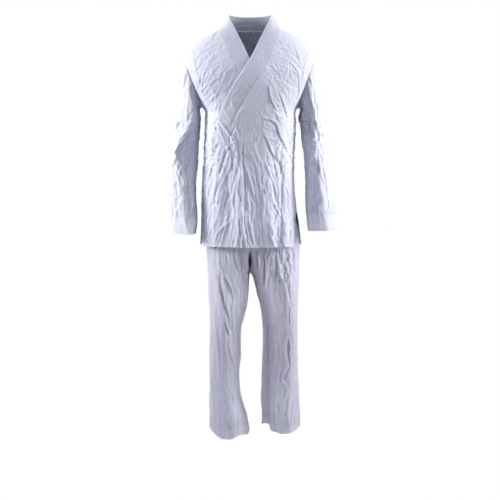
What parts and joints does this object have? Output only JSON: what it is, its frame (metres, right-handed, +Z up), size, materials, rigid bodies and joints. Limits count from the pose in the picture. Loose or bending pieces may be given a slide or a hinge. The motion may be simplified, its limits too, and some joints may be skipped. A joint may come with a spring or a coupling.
{
  "type": "martial arts gi, jacket and trousers",
  "caption": "Hollow worn set: a cross-over cotton jacket with a quilted collar band, straight sleeves and side vents, over straight open trousers with a waistband.",
  "frame": {"origin": "middle of the neck base, level with the neck seam at the shoulders, where the shoulders carry the jacket", "axes": "+Z up, the front faces -Y, the wearer's left is at +X"},
  "size_m": [0.5728, 0.2656, 1.44],
  "materials": {
    "jacket_cloth": "plain-woven bleached cotton, matte, with fine creases and a faint lavender shade",
    "collar_cloth": "several layers of bleached cotton under close rows of stitching, matte",
    "trouser_cloth": "lighter off-white cotton with fine upright slubs, matte"
  },
  "bodies": {
    "root": {"jacket_back": "jacket_cloth", "jacket_front_left": "jacket_cloth", "jacket_front_right": "jacket_cloth", "collar_band": "collar_cloth", "sleeve_left": "jacket_cloth", "sleeve_right": "jacket_cloth", "shoulder_lining_left": "jacket_cloth", "shoulder_lining_right": "jacket_cloth", "trouser_leg_left": "trouser_cloth", "trouser_leg_right": "trouser_cloth", "waistband": "trouser_cloth"}
  },
  "joints": []
}
